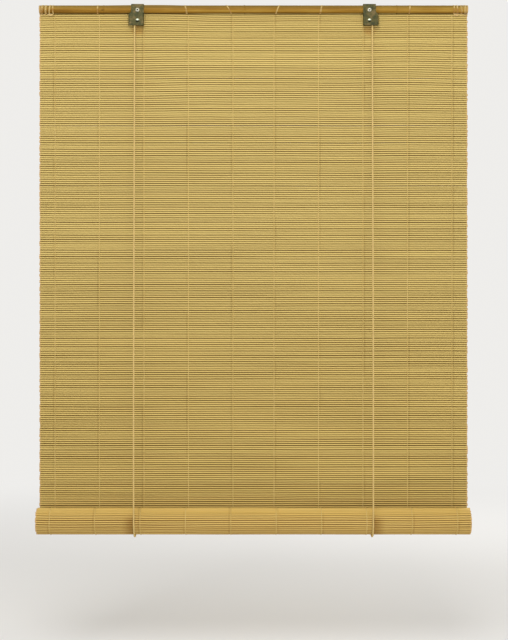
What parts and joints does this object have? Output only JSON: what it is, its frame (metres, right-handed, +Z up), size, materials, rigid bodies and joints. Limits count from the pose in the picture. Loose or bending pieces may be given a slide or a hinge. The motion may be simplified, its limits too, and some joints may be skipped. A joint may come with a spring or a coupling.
{
  "type": "bamboo roll-up blind",
  "caption": "Wide reed mat woven on warp threads, tied to a split bamboo batten and rolled up at its lower end in two cord slings that run over pulley brackets.",
  "frame": {"origin": "midway between the mounting holes of the two brackets, on the top faces of their flanges", "axes": "+X to the right along the head batten as seen from the room, +Y back towards the window, +Z up"},
  "size_m": [0.8, 0.0783, 0.9904],
  "materials": {
    "reed": "dry split reed, satin",
    "split_bamboo": "polished bamboo skin",
    "round_bamboo": "planed bamboo, satin",
    "thread": "twisted cotton thread",
    "cord": "twisted cotton cord",
    "bracket_steel": "dull olive passivated sheet",
    "bright_steel": "zinc plated",
    "rivet_steel": "dull plated",
    "pulley_nylon": "moulded nylon"
  },
  "bodies": {
    "head": {"head_batten": "split_bamboo", "reed_mat": "reed", "warp_threads": "thread", "batten_ties": "thread", "end_binding_left": "thread", "end_binding_right": "thread", "bracket_left": "bracket_steel", "bracket_right": "bracket_steel", "bracket_screw_left": "bright_steel", "bracket_screw_right": "bright_steel", "screw_washers": "bright_steel", "screw_nuts": "bright_steel", "axle_rivet_left": "rivet_steel", "axle_rivet_right": "rivet_steel", "lift_cord_left_tail": "cord", "lift_cord_right_tail": "cord", "lift_cord_left_front": "cord", "lift_cord_right_front": "cord", "lift_cord_left_back": "cord", "lift_cord_right_back": "cord", "lift_cord_left_anchor": "cord", "lift_cord_right_anchor": "cord"},
    "slings": {"lift_cord_left_sling": "cord", "lift_cord_right_sling": "cord"},
    "roll": {"reed_roll": "reed", "bottom_batten": "round_bamboo", "roll_threads": "thread"},
    "pulley_left": {"pulley_wheel_left": "pulley_nylon"},
    "pulley_right": {"pulley_wheel_right": "pulley_nylon"}
  },
  "joints": [
    {"name": "roll_lift", "type": "slide", "parent": "head", "child": "slings", "axis": [0, 0, 1], "range_m": [0, 0.88], "deforming": ["reed_mat", "warp_threads", "lift_cord_left_front", "lift_cord_right_front", "lift_cord_left_back", "lift_cord_right_back"]},
    {"name": "roll_turn", "type": "hinge", "parent": "slings", "child": "roll", "pos_m": [0, -0.0389, -0.96], "axis": [1, 0, 0], "range_deg": [-2030, 0]},
    {"name": "pulley_left_turn", "type": "hinge", "parent": "head", "child": "pulley_left", "pos_m": [-0.216, -0.02025, -0.0305], "axis": [0, 1, 0], "continuous": true},
    {"name": "pulley_right_turn", "type": "hinge", "parent": "head", "child": "pulley_right", "pos_m": [0.216, -0.02025, -0.0305], "axis": [0, 1, 0], "continuous": true}
  ],
  "couplings": [
    {"joint": "roll_turn", "follows": "roll_lift", "rad_per_m": -40.161},
    {"joint": "pulley_left_turn", "follows": "roll_lift", "rad_per_m": 357.14},
    {"joint": "pulley_right_turn", "follows": "roll_lift", "rad_per_m": -357.14}
  ]
}
